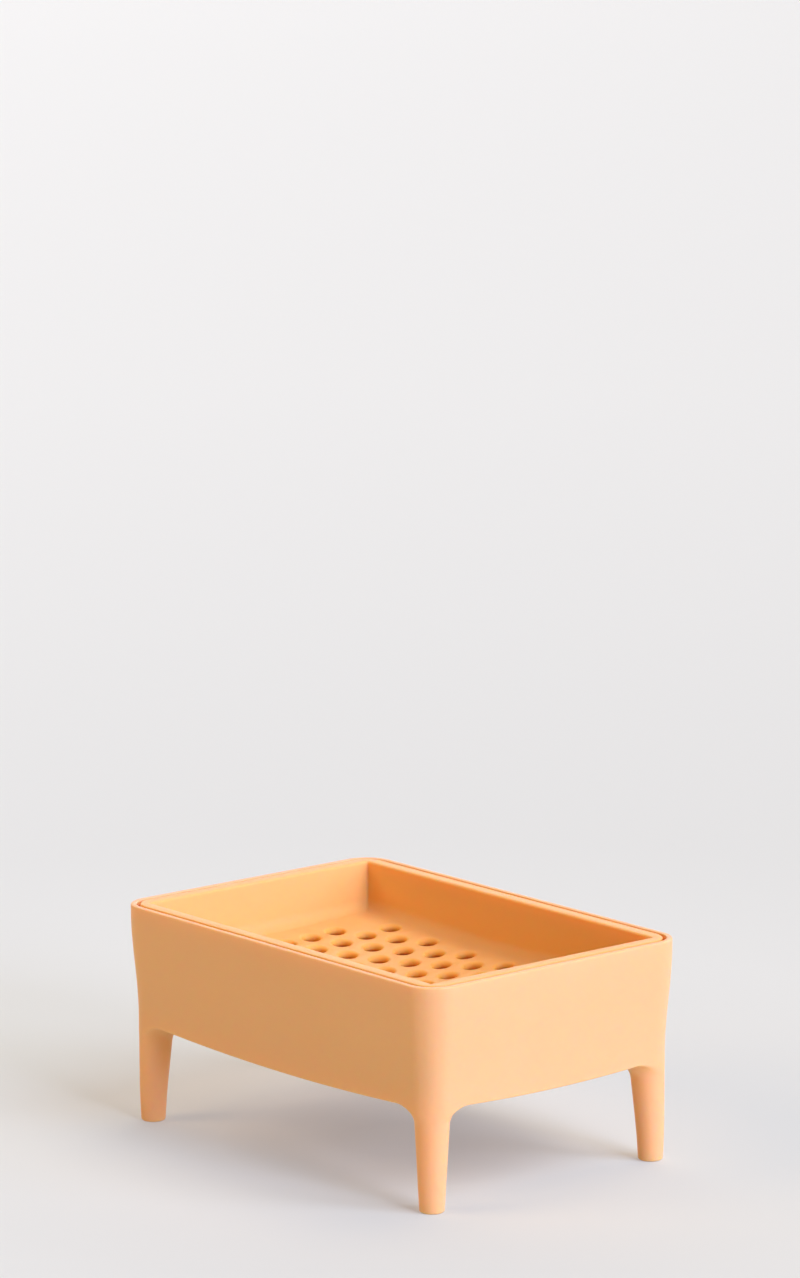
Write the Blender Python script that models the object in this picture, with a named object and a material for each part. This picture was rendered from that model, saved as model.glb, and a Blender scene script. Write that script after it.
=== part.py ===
# Soap dish: a tub moulded in one piece with its four legs, and a perforated tray
# that hangs by its lip inside the tub and lifts straight out.
# Metres, +Z up, long side along X, origin on the floor under the middle of the tub.

import math

import bmesh
import bpy
from mathutils import Matrix, Vector

# Tub, outside
LENGTH = 0.125
WIDTH = 0.0855
HEIGHT = 0.0583
CORNER_RADIUS = 0.0081
RIM_BAND = 0.0018
SIDE_DRAW_IN = 0.00176
DRAW_DEPTH = 0.028

# Tub, rim and inside
RIM_WALL = 0.0015
RIM_OUTER_ROUND = 0.0004
RIM_INNER_ROUND = 0.0002
CAVITY_FILLET = 0.0035
TUB_FLOOR = 0.002

# Underside of the tub, a shallow bowl that bows down towards the middle
BELLY_LOW = 0.0237
BELLY_RISE_LONG = 0.0023
BELLY_RISE_SHORT = 0.0018

# Rounded edge between the underside and the sides; the shallower the turn, the wider
EDGE_ROUND = 0.0004
SHALLOW_WIDENING = 2.2

# Legs
FOOT_RADIUS = 0.00317
LEG_TOP_RADIUS = 0.00447
FOOT_ROUND = 0.0006
LEG_FILLET = 0.005
LEG_TOE_IN = 0.00035
LEG_TOE_HEIGHT = 0.012
LEG_SKIN = 0.00003
LEG_PATCH = 0.012

# Tray
LIP_GAP = 0.001
LIP_WIDTH = 0.00345
LIP_THICKNESS = 0.0022
LIP_OUTER_ROUND = 0.0003
LIP_INNER_ROUND = 0.0006
TRAY_WALL = 0.0016
TRAY_FLOOR = 0.0022
TRAY_DRAFT = 0.0003
TRAY_FILLET = 0.0022
TRAY_DEPTH = 0.0186
TRAY_RISE = 0.00577
TRAY_REACH_LONG = 0.0746
TRAY_REACH_SHORT = 0.057

# Drain holes, in staggered rows that run across the tray
HOLE_RADIUS = 0.00245
ROW_PITCH = 0.00766
HOLE_PITCH = 0.00842
ROWS_EACH_SIDE = 6
EVEN_ROW_HOLES = 7
ODD_ROW_HOLES = 8
END_ROW_HOLES = 5

# Clearances
SEAT_GAP = 0.0003
TRAY_CLEARANCE = 0.0006
OVERRUN = 0.003
TIGHTEST_RADIUS = 0.001
WELD = 0.000001

# Mesh fineness
CORNER_STEPS = 6
LONG_STEPS = 8
SHORT_STEPS = 6
SIDE_STEPS = 7
FILLET_STEPS = 3
ROUND_STEPS = 2
LEG_CORNER_STEPS = 8
LEG_SIDE_STEPS = 3
LEG_INNER_STEPS = 4
LEG_SHAFT_STEPS = 3
LEG_FILLET_STEPS = 5
HOLE_SIDES = 12
SEARCH_STEPS = 40
PROBE_SHARE = 0.1
SMOOTH_ANGLE = math.radians(35)
RIGHT_ANGLE = math.pi / 2

# Rings of each floor, as shares of the way from its middle to its edge
FLOOR_RING_SHARES = (0.75, 0.5, 0.25)

# Sizes that follow from the ones above
HALF_LENGTH = LENGTH / 2
HALF_WIDTH = WIDTH / 2
DRAW_IN_TOP = HEIGHT - RIM_BAND
DRAW_IN_BOTTOM = DRAW_IN_TOP - DRAW_DEPTH
LIP_OUTER_INSET = RIM_WALL + LIP_GAP
MOUTH_INSET = LIP_OUTER_INSET + LIP_WIDTH
TRAY_OUTSIDE_INSET = MOUTH_INSET - TRAY_WALL
CAVITY_INSET = TRAY_OUTSIDE_INSET - TRAY_CLEARANCE
LIP_UNDERSIDE = HEIGHT - LIP_THICKNESS
LEDGE_HEIGHT = LIP_UNDERSIDE - SEAT_GAP
TRAY_LOW = HEIGHT - TRAY_DEPTH
CORNER_CENTRE = Vector((HALF_LENGTH - CORNER_RADIUS, HALF_WIDTH - CORNER_RADIUS))


def belly_height(x, y):
    """Height of the tub's underside at a point in plan."""
    along = (x / HALF_LENGTH) ** 2
    across = (y / HALF_WIDTH) ** 2
    return BELLY_LOW + BELLY_RISE_LONG * along + BELLY_RISE_SHORT * across


def cavity_floor_height(x, y):
    """Height of the tub's inner floor, one floor thickness above its underside."""
    return belly_height(x, y) + TUB_FLOOR


def tray_floor_height(x, y):
    """Height of the tray's dished floor, which levels off towards the corners."""
    reach = min(1, math.hypot(x / TRAY_REACH_LONG, y / TRAY_REACH_SHORT))
    return TRAY_LOW + TRAY_RISE * math.sin(RIGHT_ANGLE * reach) ** 2


def side_inset(height):
    """How far the tub's side has drawn in from the rim at a height."""
    fall = (DRAW_IN_TOP - height) / DRAW_DEPTH
    fall = max(0, min(1, fall))
    return SIDE_DRAW_IN * (1 - math.cos(math.pi * fall)) / 2


def outline(inset):
    """Rounded rectangle that lies one inset inside the rim, anticlockwise."""
    half_x = HALF_LENGTH - inset
    half_y = HALF_WIDTH - inset
    radius = max(CORNER_RADIUS - inset, TIGHTEST_RADIUS)
    points = []
    for quarter in range(4):
        sign_x, sign_y = ((1, 1), (-1, 1), (-1, -1), (1, -1))[quarter]
        centre = Vector((sign_x * (half_x - radius), sign_y * (half_y - radius)))
        for step in range(CORNER_STEPS + 1):
            angle = RIGHT_ANGLE * (quarter + step / CORNER_STEPS)
            points.append(centre + radius * Vector((math.cos(angle), math.sin(angle))))
        side_steps = LONG_STEPS if quarter % 2 == 0 else SHORT_STEPS
        run = (half_x - radius) if quarter % 2 == 0 else (half_y - radius)
        along = Vector(((-1, 0), (0, -1), (1, 0), (0, 1))[quarter])
        start = points[-1]
        for step in range(1, side_steps):
            points.append(start + along * (2 * run * step / side_steps))
    return points


def level_ring(inset, height):
    """Ring of points at one height."""
    return [Vector((p.x, p.y, height)) for p in outline(inset)]


def surface_ring(inset, surface, lift=0, share=1):
    """Ring of points that follows a floor surface, lifted and drawn towards its middle."""
    ring = []
    for p in outline(inset):
        x, y = p.x * share, p.y * share
        ring.append(Vector((x, y, surface(x, y) + lift)))
    return ring


def loft(bm, rings, close_start, close_end):
    """Skin a list of rings, with each end closed by a point or by a flat face."""
    layers = [[bm.verts.new(point) for point in ring] for ring in rings]
    for lower, upper in zip(layers, layers[1:]):
        count = len(lower)
        for i in range(count):
            j = (i + 1) % count
            bm.faces.new((lower[i], lower[j], upper[j], upper[i]))
    for layer, closing in ((layers[0], close_start), (layers[-1], close_end)):
        if closing is None:
            bm.faces.new(layer)
            continue
        tip = bm.verts.new(closing)
        for i in range(len(layer)):
            bm.faces.new((layer[i], layer[(i + 1) % len(layer)], tip))
    bmesh.ops.recalc_face_normals(bm, faces=bm.faces)


def arc_steps(count):
    """Angles from zero to a right angle, both included."""
    return [RIGHT_ANGLE * step / count for step in range(count + 1)]


def make_object(name, bm, material=None):
    """Turn a bmesh into an object that is smooth between its sharp edges."""
    mesh = bpy.data.meshes.new(name)
    bm.to_mesh(mesh)
    bm.free()
    mesh.shade_smooth()
    mesh.set_sharp_from_angle(angle=SMOOTH_ANGLE)
    obj = bpy.data.objects.new(name, mesh)
    bpy.context.scene.collection.objects.link(obj)
    if material is not None:
        mesh.materials.append(material)
    return obj


def make_cutter(name, bm):
    """Cutting tool, left out of the finished part."""
    obj = make_object(name, bm)
    obj.hide_render = True
    obj.display_type = "WIRE"
    return obj


def cut(target, cutter):
    """Take the cutter's volume out of the target."""
    modifier = target.modifiers.new(cutter.name, "BOOLEAN")
    modifier.operation = "DIFFERENCE"
    modifier.solver = "EXACT"
    modifier.object = cutter


def set_origin(obj, origin):
    """Move an object's origin without moving its shape."""
    obj.data.transform(Matrix.Translation(-origin))
    obj.location = origin


def plastic(name, colour, roughness):
    """Matte moulded plastic."""
    material = bpy.data.materials.new(name)
    material.use_nodes = True
    shader = material.node_tree.nodes["Principled BSDF"]
    shader.inputs["Base Color"].default_value = (*colour, 1)
    shader.inputs["Roughness"].default_value = roughness
    shader.inputs["Metallic"].default_value = 0
    return material


def belly_point(x, y):
    """Point of the underside over a point in plan."""
    return Vector((x, y, belly_height(x, y)))


def belly_normal(x, y):
    """Way the underside faces at a point in plan."""
    along = 2 * BELLY_RISE_LONG * x / HALF_LENGTH ** 2
    across = 2 * BELLY_RISE_SHORT * y / HALF_WIDTH ** 2
    return Vector((along, across, -1)).normalized()


def nearest_wall(x, y):
    """Gap to the tub's drawn-in side, the way out to it, and the station met there."""
    off = Vector((x, y)) - CORNER_CENTRE
    if off.x > 0 and off.y > 0:
        gap = CORNER_RADIUS - SIDE_DRAW_IN - off.length
        return gap, off.normalized(), ("turn", math.atan2(off.y, off.x))
    long_gap = HALF_WIDTH - SIDE_DRAW_IN - y
    short_gap = HALF_LENGTH - SIDE_DRAW_IN - x
    if long_gap < short_gap:
        return long_gap, Vector((0, 1)), ("long", x)
    return short_gap, Vector((1, 0)), ("short", y)


def station_spot(station, inset):
    """Plan position of one station of the tub's outline, one inset inside the rim."""
    kind, value = station
    radius = max(CORNER_RADIUS - inset, TIGHTEST_RADIUS)
    centre = Vector((HALF_LENGTH - inset - radius, HALF_WIDTH - inset - radius))
    if kind == "turn":
        return centre + radius * Vector((math.cos(value), math.sin(value)))
    if kind == "long":
        return Vector((value * centre.x / CORNER_CENTRE.x, HALF_WIDTH - inset))
    return Vector((HALF_LENGTH - inset, value * centre.y / CORNER_CENTRE.y))


def leg_radius(height):
    """Radius of the tapered leg, before the fillet at its top."""
    return FOOT_RADIUS + (LEG_TOP_RADIUS - FOOT_RADIUS) * height / BELLY_LOW


def leg_outward(height):
    """How far the leg's middle stands out from the centre of the tub's corner."""
    toe = LEG_TOE_IN * max(0, 1 - height / LEG_TOE_HEIGHT) ** 2
    return CORNER_RADIUS - SIDE_DRAW_IN - LEG_SKIN - toe - leg_radius(height)


LEG_AXIS = CORNER_CENTRE + leg_outward(BELLY_LOW) * Vector((1, 1)).normalized()


def shaft_reach(height, turn, radius):
    """Distance from the leg's axis to its surface, on a ring of a given radius."""
    shift = leg_outward(height) - leg_outward(BELLY_LOW)
    aside = turn - RIGHT_ANGLE / 2
    return shift * math.cos(aside) + math.sqrt(radius ** 2 - (shift * math.sin(aside)) ** 2)


def leg_spot(turn, reach, height):
    """Point at a turn and a distance round the leg's axis."""
    x = LEG_AXIS.x + reach * math.cos(turn)
    y = LEG_AXIS.y + reach * math.sin(turn)
    return Vector((x, y, height))


class UnderProfile:
    """Line from the top of the leg through its fillet and out along the underside.

    It lies in one half plane through the leg's axis. The fillet is a true arc that
    touches both the leg's side and the underside.
    """

    def __init__(self, turn):
        self.turn = turn
        self.step = PROBE_SHARE * LEG_FILLET
        low = BELLY_LOW - LEG_FILLET
        above = shaft_reach(low + self.step, turn, leg_radius(low + self.step))
        below = shaft_reach(low - self.step, turn, leg_radius(low - self.step))
        lean = (above - below) / (2 * self.step)
        side = shaft_reach(low, turn, leg_radius(low))
        self.touch = side + LEG_FILLET
        for _ in range(SEARCH_STEPS):
            slope = self.slope_at(self.touch)
            self.stretch = math.hypot(1, slope)
            level = self.height_at(self.touch) - slope * self.touch - LEG_FILLET * self.stretch
            offset = LEG_FILLET * math.hypot(1, lean)
            self.centre_reach = (side + lean * (level - low) + offset) / (1 - lean * slope)
            self.touch = self.centre_reach - LEG_FILLET * slope / self.stretch
        self.centre_height = level + slope * self.centre_reach
        self.start = math.pi - math.atan(lean)
        self.arc_run = LEG_FILLET * (RIGHT_ANGLE - math.atan(lean) - math.atan(slope))

    def height_at(self, reach):
        """Height of the underside at a distance from the leg's axis."""
        spot = leg_spot(self.turn, reach, 0)
        return belly_height(spot.x, spot.y)

    def slope_at(self, reach):
        """Slope of the underside at a distance from the leg's axis."""
        rise = self.height_at(reach + self.step) - self.height_at(reach - self.step)
        return rise / (2 * self.step)

    def at(self, run):
        """Point after a run along the line, and the way the surface faces there."""
        if run < self.arc_run:
            angle = self.start - run / LEG_FILLET
            reach = self.centre_reach + LEG_FILLET * math.cos(angle)
            spot = leg_spot(self.turn, reach, self.centre_height + LEG_FILLET * math.sin(angle))
            out = -math.cos(angle)
            facing = (out * math.cos(self.turn), out * math.sin(self.turn), -math.sin(angle))
            return spot, Vector(facing)
        reach = self.touch + (run - self.arc_run) / self.stretch
        spot = leg_spot(self.turn, reach, self.height_at(reach))
        return spot, belly_normal(spot.x, spot.y)

    def run_to(self, reach):
        """Run along the line to a distance from the leg's axis, out on the underside."""
        return self.arc_run + (reach - self.touch) * self.stretch


def edge_turn(normal, outward):
    """Angle through which the rounded edge turns, and its radius."""
    total = math.acos(normal.xy.dot(outward))
    setback = EDGE_ROUND * (1 + SHALLOW_WIDENING * math.cos(total) ** 2)
    return total, setback / math.tan(total / 2)


def edge_gap(spot, normal):
    """What is left between a point of the underside and the start of the rounded edge."""
    gap, outward, _ = nearest_wall(spot.x, spot.y)
    total, radius = edge_turn(normal, outward)
    return gap - radius * (1 - math.cos(total))


def edge_reach(axis):
    """How far out the underside runs before its rounded edge, along one plan axis."""
    half = (HALF_LENGTH, HALF_WIDTH)[axis] - SIDE_DRAW_IN
    outward = Vector((1 - axis, axis))
    reach = half
    for _ in range(SEARCH_STEPS):
        spot = reach * outward
        total, radius = edge_turn(belly_normal(spot.x, spot.y), outward)
        reach = half - radius * (1 - math.cos(total))
    return reach


def side_levels(edge_height):
    """Insets and heights up the side, over the rim and down to the ledge's inner edge."""
    levels = []
    for step in range(SIDE_STEPS + 1):
        height = DRAW_IN_BOTTOM + DRAW_DEPTH * step / SIDE_STEPS
        levels.append((side_inset(height), height))
    if edge_height < DRAW_IN_BOTTOM:
        levels.insert(0, (SIDE_DRAW_IN, (edge_height + DRAW_IN_BOTTOM) / 2))
    for angle in arc_steps(ROUND_STEPS):
        height = HEIGHT - RIM_OUTER_ROUND * (1 - math.sin(angle))
        levels.append((RIM_OUTER_ROUND * (1 - math.cos(angle)), height))
    for angle in arc_steps(ROUND_STEPS):
        inset = RIM_WALL - RIM_INNER_ROUND * (1 - math.sin(angle))
        levels.append((inset, HEIGHT - RIM_INNER_ROUND * (1 - math.cos(angle))))
    levels.append((RIM_WALL, LEDGE_HEIGHT))
    levels.append((CAVITY_INSET, LEDGE_HEIGHT))
    return levels


def column_up(spot, normal):
    """Line from the underside round the edge, up the side, over the rim and into the tub."""
    _, outward, station = nearest_wall(spot.x, spot.y)
    total, radius = edge_turn(normal, outward)
    points = [spot]
    for step in range(1, ROUND_STEPS + 1):
        left = total * (1 - step / ROUND_STEPS)
        out = radius * (math.cos(left) - math.cos(total))
        up = radius * (math.sin(total) - math.sin(left))
        points.append(spot + Vector((outward.x * out, outward.y * out, up)))
    for inset, height in side_levels(points[-1].z):
        plan = station_spot(station, inset)
        points.append(Vector((plan.x, plan.y, height)))
    for angle in arc_steps(FILLET_STEPS):
        plan = station_spot(station, CAVITY_INSET + CAVITY_FILLET * (1 - math.cos(angle)))
        lift = CAVITY_FILLET * (1 - math.sin(angle))
        points.append(Vector((plan.x, plan.y, cavity_floor_height(plan.x, plan.y) + lift)))
    for share in (*FLOOR_RING_SHARES, 0):
        plan = share * station_spot(station, CAVITY_INSET + CAVITY_FILLET)
        points.append(Vector((plan.x, plan.y, cavity_floor_height(plan.x, plan.y))))
    return points


def column_down(turn):
    """Line up the leg, from the middle of its foot to the start of its fillet."""
    centre = leg_spot(RIGHT_ANGLE / 2, leg_outward(0) - leg_outward(BELLY_LOW), 0)
    points = [centre]
    for angle in arc_steps(ROUND_STEPS):
        height = FOOT_ROUND * (1 - math.cos(angle))
        radius = leg_radius(height) - FOOT_ROUND * (1 - math.sin(angle))
        points.append(leg_spot(turn, shaft_reach(height, turn, radius), height))
    top = UnderProfile(turn).at(0)[0].z
    for step in range(1, LEG_SHAFT_STEPS + 1):
        height = FOOT_ROUND + (top - FOOT_ROUND) * step / LEG_SHAFT_STEPS
        points.append(leg_spot(turn, shaft_reach(height, turn, leg_radius(height)), height))
    return points


def blend(start, end, steps):
    """Even steps from one number to another, both included."""
    return [start + (end - start) * step / steps for step in range(steps + 1)]


def outer_turns(edge_x, edge_y):
    """Turns round the outside of the leg, from one side of its patch to the other."""
    beside, above = edge_x - LEG_AXIS.x, edge_y - LEG_AXIS.y
    turns = [math.atan2(above, x) for x in blend(-LEG_PATCH, 0, LEG_SIDE_STEPS)]
    turns += [RIGHT_ANGLE - angle for angle in blend(0, RIGHT_ANGLE, LEG_CORNER_STEPS)[1:]]
    turns += [math.atan2(y, beside) for y in blend(0, -LEG_PATCH, LEG_SIDE_STEPS)[1:]]
    return turns


def outer_line(turn):
    """Line up the leg's outside, then the line that goes on up the tub's side."""
    profile = UnderProfile(turn)
    near, far = 0, 2 * LEG_PATCH
    for _ in range(SEARCH_STEPS):
        middle = (near + far) / 2
        if edge_gap(*profile.at(middle)) > 0:
            near = middle
        else:
            far = middle
    runs = blend(0, near, LEG_FILLET_STEPS)[1:]
    return column_down(turn) + [profile.at(run)[0] for run in runs], column_up(*profile.at(near))


def inner_line(spot):
    """Line up the leg's inside and out to a point on the border of its patch."""
    off = spot - LEG_AXIS
    turn = math.atan2(off.y, off.x)
    profile = UnderProfile(turn)
    runs = blend(0, profile.run_to(off.length), LEG_FILLET_STEPS)[1:-1]
    return column_down(turn) + [profile.at(run)[0] for run in runs] + [belly_point(*spot)]


def tub_quarter():
    """Sheets of points over one quarter of the tub; each sheet is a list of lines."""
    inner_x, inner_y = LEG_AXIS.x - LEG_PATCH, LEG_AXIS.y - LEG_PATCH
    edge_x, edge_y = edge_reach(0), edge_reach(1)
    long_run = blend(0, inner_x, LONG_STEPS // 2)
    short_run = blend(0, inner_y, SHORT_STEPS // 2)
    fall_run = blend(edge_y, inner_y, LEG_INNER_STEPS)
    spread_run = blend(inner_x, edge_x, LEG_INNER_STEPS)

    down_lines, up_lines = zip(*[outer_line(turn) for turn in outer_turns(edge_x, edge_y)])
    up_lines = list(up_lines)
    for x in reversed(long_run[:-1]):
        up_lines.insert(0, column_up(belly_point(x, edge_y), belly_normal(x, edge_y)))
    for y in reversed(short_run[:-1]):
        up_lines.append(column_up(belly_point(edge_x, y), belly_normal(edge_x, y)))
    border = [Vector((inner_x, y)) for y in fall_run]
    border += [Vector((x, inner_y)) for x in spread_run[1:]]
    return [
        down_lines,
        up_lines,
        [inner_line(spot) for spot in border],
        [[belly_point(x, y) for y in fall_run] for x in long_run],
        [[belly_point(x, y) for x in spread_run] for y in short_run],
        [[belly_point(x, y) for y in short_run] for x in long_run],
    ]


def make_tub(material):
    """Tub and legs in one body: one quarter, mirrored both ways and welded."""
    bm = bmesh.new()
    sheets = tub_quarter()
    for sign_x in (1, -1):
        for sign_y in (1, -1):
            for lines in sheets:
                rows = []
                for line in lines:
                    rows.append([bm.verts.new((sign_x * p.x, sign_y * p.y, p.z)) for p in line])
                for one, other in zip(rows, rows[1:]):
                    for i in range(len(one) - 1):
                        bm.faces.new((one[i], other[i], other[i + 1], one[i + 1]))
    bmesh.ops.remove_doubles(bm, verts=bm.verts, dist=WELD)
    bmesh.ops.recalc_face_normals(bm, faces=bm.faces)
    return make_object("base_tub", bm, material)


def tray_blank():
    """Tray before its holes: lip, walls and a dished floor thicker than the walls."""
    bm = bmesh.new()
    fillet_inset = MOUTH_INSET + TRAY_DRAFT + TRAY_FILLET
    fillet_out = TRAY_FILLET + TRAY_WALL
    fillet_down = TRAY_FILLET + TRAY_FLOOR
    rings = []
    for share in reversed(FLOOR_RING_SHARES):
        rings.append(surface_ring(fillet_inset, tray_floor_height, -TRAY_FLOOR, share))
    for angle in reversed(arc_steps(FILLET_STEPS)):
        inset = fillet_inset - fillet_out * math.cos(angle)
        lift = TRAY_FILLET - fillet_down * math.sin(angle)
        rings.append(surface_ring(inset, tray_floor_height, lift))
    rings.append(level_ring(TRAY_OUTSIDE_INSET, LIP_UNDERSIDE))
    rings.append(level_ring(LIP_OUTER_INSET, LIP_UNDERSIDE))
    for angle in arc_steps(ROUND_STEPS):
        inset = LIP_OUTER_INSET + LIP_OUTER_ROUND * (1 - math.cos(angle))
        rings.append(level_ring(inset, HEIGHT - LIP_OUTER_ROUND * (1 - math.sin(angle))))
    for angle in arc_steps(ROUND_STEPS):
        inset = MOUTH_INSET - LIP_INNER_ROUND * (1 - math.sin(angle))
        rings.append(level_ring(inset, HEIGHT - LIP_INNER_ROUND * (1 - math.cos(angle))))
    for angle in arc_steps(FILLET_STEPS):
        inset = fillet_inset - TRAY_FILLET * math.cos(angle)
        lift = TRAY_FILLET * (1 - math.sin(angle))
        rings.append(surface_ring(inset, tray_floor_height, lift))
    for share in FLOOR_RING_SHARES:
        rings.append(surface_ring(fillet_inset, tray_floor_height, 0, share))
    middle = tray_floor_height(0, 0)
    # The first ring is the innermost one of the underside, so that end closes there.
    loft(bm, rings, Vector((0, 0, middle - TRAY_FLOOR)), Vector((0, 0, middle)))
    return bm


def hole_centres():
    """Staggered rows of holes, symmetric about both middle lines of the tray."""
    centres = []
    for row in range(-ROWS_EACH_SIDE, ROWS_EACH_SIDE + 1):
        count = ODD_ROW_HOLES if row % 2 else EVEN_ROW_HOLES
        if abs(row) == ROWS_EACH_SIDE:
            count = END_ROW_HOLES
        for place in range(count):
            centres.append((row * ROW_PITCH, (place - (count - 1) / 2) * HOLE_PITCH))
    return centres


def hole_pins():
    """One straight pin for each drain hole, long enough to pass the floor everywhere."""
    bm = bmesh.new()
    low = TRAY_LOW - TRAY_FLOOR - OVERRUN
    high = TRAY_LOW + TRAY_RISE + OVERRUN
    middle = (low + high) / 2
    for x, y in hole_centres():
        bmesh.ops.create_cone(
            bm,
            cap_ends=True,
            segments=HOLE_SIDES,
            radius1=HOLE_RADIUS,
            radius2=HOLE_RADIUS,
            depth=high - low,
            matrix=Matrix.Translation((x, y, middle)),
        )
    return bm


def make_tray(material):
    """Lift-out tray; its origin lies on the line along which it lifts."""
    tray = make_object("soap_tray", tray_blank(), material)
    pins = make_cutter("hole_pins", hole_pins())
    cut(tray, pins)
    seat = Vector((0, 0, LIP_UNDERSIDE))
    set_origin(tray, seat)
    return tray


for old in list(bpy.data.objects):
    bpy.data.objects.remove(old, do_unlink=True)

make_tub(plastic("apricot_tub", (0.90, 0.51, 0.24), 0.55))
make_tray(plastic("apricot_tray", (0.90, 0.50, 0.23), 0.5))
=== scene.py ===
# Looks of the soap dish: a moulded tub on four legs, and the perforated tray that lifts out of it.
# Metres, +Z up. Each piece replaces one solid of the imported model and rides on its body.
import math

import bmesh
import bpy
from mathutils import Matrix, Vector


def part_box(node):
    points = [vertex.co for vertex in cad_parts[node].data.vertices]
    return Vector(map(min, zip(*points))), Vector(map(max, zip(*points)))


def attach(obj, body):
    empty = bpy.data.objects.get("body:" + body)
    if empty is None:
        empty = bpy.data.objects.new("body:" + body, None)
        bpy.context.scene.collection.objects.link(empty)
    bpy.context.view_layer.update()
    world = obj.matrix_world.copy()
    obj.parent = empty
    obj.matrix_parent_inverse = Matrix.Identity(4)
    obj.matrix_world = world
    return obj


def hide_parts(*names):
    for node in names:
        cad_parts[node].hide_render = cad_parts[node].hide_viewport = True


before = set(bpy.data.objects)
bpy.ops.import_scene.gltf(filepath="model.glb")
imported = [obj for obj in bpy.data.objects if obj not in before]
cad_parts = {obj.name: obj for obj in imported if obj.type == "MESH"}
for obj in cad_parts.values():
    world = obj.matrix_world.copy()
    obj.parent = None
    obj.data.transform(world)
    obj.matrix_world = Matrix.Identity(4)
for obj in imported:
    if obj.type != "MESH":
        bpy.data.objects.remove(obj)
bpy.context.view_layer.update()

halfLength, halfWidth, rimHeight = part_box("base_tub")[1]
rightAngle = math.pi / 2

# The rim, which both pieces follow
rim = {
    "cornerRadius": 0.0081,
    "tightestRadius": 0.0005,
    "wall": 0.0015,
    "gap": 0.001,  # shadow line between the tub and the tray's lip
    "lipWidth": 0.00345,
    "lipThickness": 0.0022,
    "seatGap": 0.0003,  # between the lip and the ledge under it
}

meshing = {
    "weld": 0.000001,
    "sharpAbove": math.radians(40),
}

mouthInset = rim["wall"] + rim["gap"] + rim["lipWidth"]
lipUnderside = rimHeight - rim["lipThickness"]


def quarterTurns(count):
    return [rightAngle * step / count for step in range(count + 1)]


def addObject(name, data):
    obj = bpy.data.objects.new(name, data)
    bpy.context.scene.collection.objects.link(obj)
    return obj


def objectFromBmesh(name, bm):
    mesh = bpy.data.meshes.new(name)
    bm.to_mesh(mesh)
    bm.free()
    return addObject(name, mesh)


def shadeSmooth(obj):
    # smooth, but for the edges where faces meet at a wide angle
    obj.data.shade_smooth()
    obj.data.set_sharp_from_angle(angle=meshing["sharpAbove"])


def wire(tree, socket, value):
    # join a socket to another one, or write a plain value into it
    if isinstance(value, bpy.types.NodeSocket):
        tree.links.new(value, socket)
    else:
        socket.default_value = value


def addNode(tree, kind, inputs, **settings):
    made = tree.nodes.new(kind)
    for name, value in settings.items():
        setattr(made, name, value)
    for name, value in inputs.items():
        wire(tree, made.inputs[name], value)
    return made


def outOf(tree, kind, inputs, **settings):
    # first output of a new node
    return addNode(tree, kind, inputs, **settings).outputs[0]


def calc(tree, operation, *values):
    return outOf(tree, "ShaderNodeMath", dict(enumerate(values)), operation=operation)


def vectorCalc(tree, operation, *values):
    made = addNode(tree, "ShaderNodeVectorMath", dict(enumerate(values)), operation=operation)
    return made.outputs["Value" if operation in ("DOT_PRODUCT", "LENGTH") else "Vector"]


def mixTones(tree, share, first, second):
    return addNode(tree, "ShaderNodeMix", {
        "Factor": share,
        "A": first,
        "B": second,
    }, data_type="RGBA").outputs["Result"]


def startMaterial(name):
    # new material with its tree and shader, and the place of each point on the piece
    material = bpy.data.materials.new(name)
    material.use_nodes = True
    tree = material.node_tree
    place = tree.nodes.new("ShaderNodeTexCoord").outputs["Object"]
    return material, tree, tree.nodes["Principled BSDF"], place


# Camera and light

view = {
    "place": (1.13697, -0.95370, 0.41593),
    "turn": math.radians(49.983),
    "tilt": math.radians(10.84),
    "roll": math.radians(-0.175),
    "lens": 167.07,
    "sensor": 36,
    "farEnd": 50,
}

coolTone = (0.95, 1.0, 2.0)
highTone = (0.96, 1.0, 1.62)
warmTone = (1.52, 0.97, 0.74)
paleTone = (1.1, 1.0, 1.25)

# turn about +Z from +X, rise above the floor and width of each lamp, in degrees
lamps = {
    "windowLow": {"turn": 30, "rise": 14, "spread": 22, "strength": 0.86, "tone": coolTone},
    "windowSide": {"turn": 0, "rise": 14, "spread": 22, "strength": 1.53, "tone": coolTone},
    "windowHigh": {"turn": 15, "rise": 50, "spread": 40, "strength": 1.34, "tone": highTone},
    "frontFill": {"turn": -120, "rise": 32, "spread": 30, "strength": 0.62, "tone": warmTone},
    "backWall": {"turn": 137, "rise": 30, "spread": 70, "strength": 0.8, "tone": paleTone},
    "ceiling": {"turn": 90, "rise": 68, "spread": 30, "strength": 0.47, "tone": warmTone},
}

sky = {
    "tone": (1.08, 1.0, 1.05, 1),
    "even": 0.14,
    "paleWall": (-0.75, 0.63, 0.2),  # the way to the brighter wall
    "wallGlow": 0.62,
    "wallFocus": 10,
    "backdrop": (0.85, 0.845, 0.865, 1),
}


def makeCamera():
    data = bpy.data.cameras.new("photoCamera")
    data.sensor_fit = "VERTICAL"
    data.sensor_height = view["sensor"]
    data.lens = view["lens"]
    data.clip_end = view["farEnd"]
    camera = addObject("photoCamera", data)
    turned = Matrix.Rotation(view["turn"], 4, "Z")
    raised = Matrix.Rotation(rightAngle - view["tilt"], 4, "X")
    placed = Matrix.Translation(view["place"]) @ (turned @ raised)
    camera.matrix_world = placed @ Matrix.Rotation(view["roll"], 4, "Z")
    bpy.context.scene.camera = camera


def makeLamp(name, setting):
    data = bpy.data.lights.new(name, "SUN")
    data.energy = setting["strength"]
    data.angle = math.radians(setting["spread"])
    data.color = setting["tone"]
    turn, rise = math.radians(setting["turn"]), math.radians(setting["rise"])
    level = math.cos(rise)
    towards = Vector((level * math.cos(turn), level * math.sin(turn), math.sin(rise)))
    addObject(name, data).rotation_euler = towards.to_track_quat("Z", "Y").to_euler()


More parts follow.
